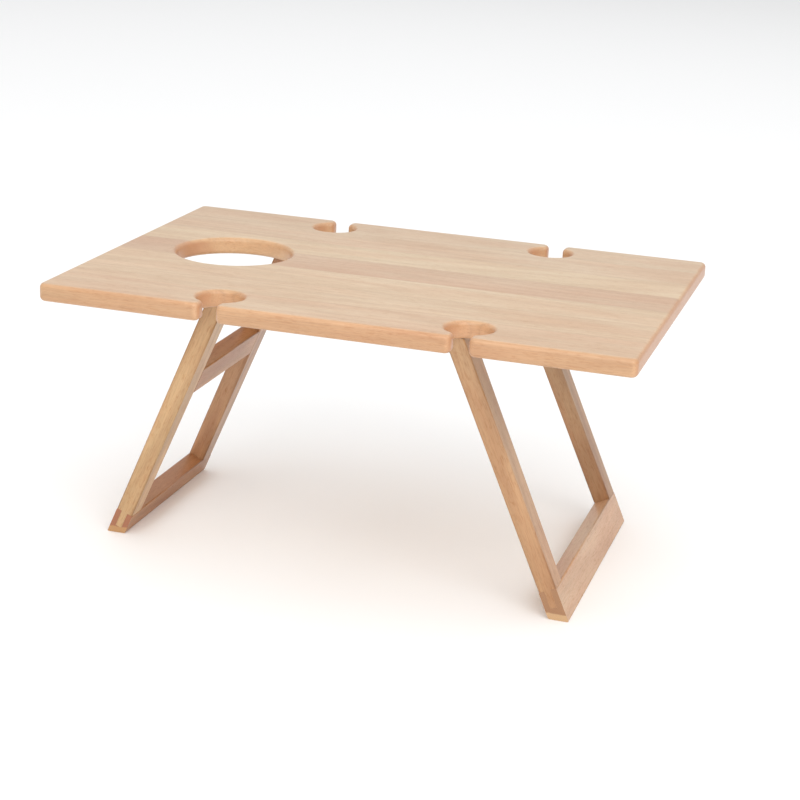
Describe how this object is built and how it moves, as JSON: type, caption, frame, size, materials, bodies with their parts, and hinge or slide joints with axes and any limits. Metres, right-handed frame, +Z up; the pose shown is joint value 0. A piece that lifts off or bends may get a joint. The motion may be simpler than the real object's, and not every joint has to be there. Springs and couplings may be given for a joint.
{
  "type": "folding side table",
  "caption": "Low folding wooden picnic table with a rounded board, a bottle hole, stemmed-glass notches and two splayed leg frames on butt hinges.",
  "frame": {"origin": "on the ground under the middle of the board, with the table open", "axes": "+X along the board towards the wide leg frame, +Y across it towards the back, +Z up"},
  "size_m": [0.7, 0.486, 0.343],
  "materials": {
    "board_wood": "clear-oiled pale rubberwood, edge-glued staves, satin",
    "frame_wood": "clear-oiled rubberwood, satin",
    "hinge_brass": "brass-plated pressed steel, lightly worn",
    "fastener_steel": "zinc-plated steel"
  },
  "bodies": {
    "tabletop": {"board": "board_wood", "narrow_hinge_front_board_leaf": "hinge_brass", "narrow_hinge_front_pin": "fastener_steel", "narrow_hinge_front_board_screw_1": "fastener_steel", "narrow_hinge_front_board_screw_2": "fastener_steel", "narrow_hinge_back_board_leaf": "hinge_brass", "narrow_hinge_back_pin": "fastener_steel", "narrow_hinge_back_board_screw_1": "fastener_steel", "narrow_hinge_back_board_screw_2": "fastener_steel", "wide_hinge_front_board_leaf": "hinge_brass", "wide_hinge_front_pin": "fastener_steel", "wide_hinge_front_board_screw_1": "fastener_steel", "wide_hinge_front_board_screw_2": "fastener_steel", "wide_hinge_back_board_leaf": "hinge_brass", "wide_hinge_back_pin": "fastener_steel", "wide_hinge_back_board_screw_1": "fastener_steel", "wide_hinge_back_board_screw_2": "fastener_steel"},
    "narrow_frame": {"narrow_leg_front": "frame_wood", "narrow_leg_back": "frame_wood", "narrow_stretcher": "frame_wood", "narrow_foot_rail": "frame_wood", "narrow_hinge_front_leg_leaf": "hinge_brass", "narrow_hinge_front_leg_screw_1": "fastener_steel", "narrow_hinge_front_leg_screw_2": "fastener_steel", "narrow_hinge_back_leg_leaf": "hinge_brass", "narrow_hinge_back_leg_screw_1": "fastener_steel", "narrow_hinge_back_leg_screw_2": "fastener_steel"},
    "wide_frame": {"wide_leg_front": "frame_wood", "wide_leg_back": "frame_wood", "wide_foot_rail": "frame_wood", "wide_hinge_front_leg_leaf": "hinge_brass", "wide_hinge_front_leg_screw_1": "fastener_steel", "wide_hinge_front_leg_screw_2": "fastener_steel", "wide_hinge_back_leg_leaf": "hinge_brass", "wide_hinge_back_leg_screw_1": "fastener_steel", "wide_hinge_back_leg_screw_2": "fastener_steel"}
  },
  "joints": [
    {"name": "narrow_frame_fold", "type": "hinge", "parent": "tabletop", "child": "narrow_frame", "pos_m": [-0.15969, 0, 0.3187], "axis": [0, -1, 0], "range_deg": [0, 112.35]},
    {"name": "wide_frame_fold", "type": "hinge", "parent": "tabletop", "child": "wide_frame", "pos_m": [0.11534, 0, 0.3187], "axis": [0, 1, 0], "range_deg": [0, 93]}
  ]
}
